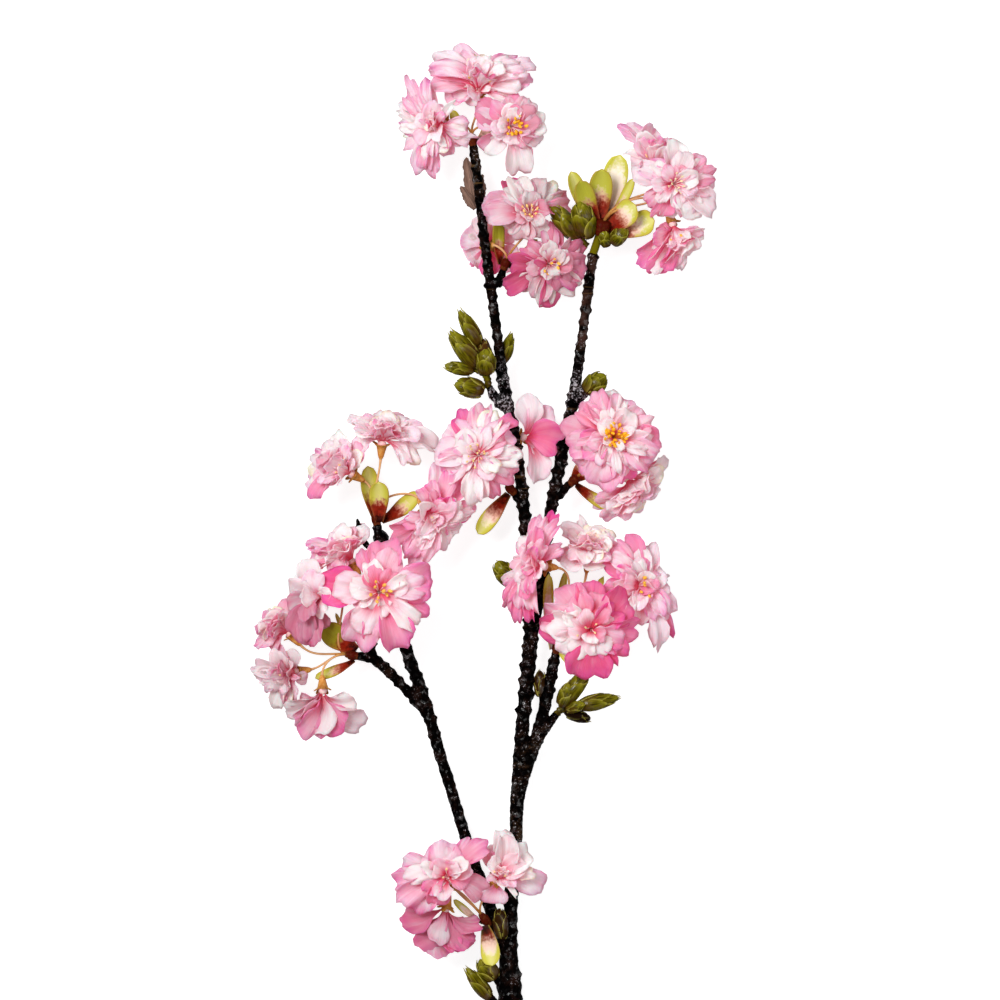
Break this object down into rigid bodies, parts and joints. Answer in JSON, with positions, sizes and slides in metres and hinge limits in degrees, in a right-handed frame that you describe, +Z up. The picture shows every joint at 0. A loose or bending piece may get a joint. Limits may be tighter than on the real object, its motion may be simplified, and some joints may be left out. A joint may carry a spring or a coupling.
{
  "type": "cherry blossom sprig",
  "caption": "Cut sprig of double pink cherry blossom lying down: knobbly dark forked stem, clusters of many-petalled blooms on thin stalks, young bracts and green buds.",
  "frame": {"origin": "on the surface that the sprig lies on, under the middle of its bounding box", "axes": "+Y along the stem from its cut end towards the blooms at the far end, +Z up off the surface, +X to the right of the stem seen from above"},
  "size_m": [0.2308, 0.4903, 0.0588],
  "materials": {
    "bark": "satin",
    "petal": "matte",
    "stalk": "satin",
    "bract": "satin",
    "bud": "satin"
  },
  "bodies": {
    "root": {"branch": "bark", "stalks_a": "stalk", "stalks_b": "stalk", "stalks_c": "stalk", "stalks_e": "stalk", "stalks_f": "stalk", "stalks_g": "stalk", "stalks_i": "stalk", "stalks_j": "stalk", "stalks_l": "stalk", "stalks_k": "stalk", "bracts_a": "bract", "bracts_b": "bract", "bracts_c": "bract", "bracts_e": "bract", "bracts_f": "bract", "bracts_g": "bract", "bracts_i": "bract", "bracts_j": "bract", "bracts_k": "bract", "bud_d": "bud", "bud_d_back": "bud", "bud_f": "bud", "bud_g": "bud", "bud_h": "bud", "bud_h_back": "bud", "bud_c": "bud", "bud_c_left": "bud", "bud_k": "bud", "bud_k_mid": "bud", "bud_k_low": "bud", "bloom_f1": "petal", "bloom_l1": "petal", "bloom_g4": "petal", "bloom_e1": "petal", "bloom_k1": "petal", "bloom_b2": "petal", "bloom_b1": "petal", "bloom_c2": "petal", "bloom_a3": "petal", "bloom_a2": "petal", "bloom_a1": "petal", "bloom_g3": "petal", "bloom_g2": "petal", "bloom_g1": "petal", "bloom_i3": "petal", "bloom_i1": "petal", "bloom_i2": "petal", "bloom_k3": "petal", "bloom_k2": "petal", "bloom_j3": "petal", "bloom_l2": "petal", "bloom_j6": "petal", "bloom_j5": "petal", "bloom_j4": "petal", "bloom_c3": "petal", "bloom_c1": "petal", "bloom_f2": "petal", "bloom_m1": "petal", "bloom_b3": "petal"}
  },
  "joints": []
}
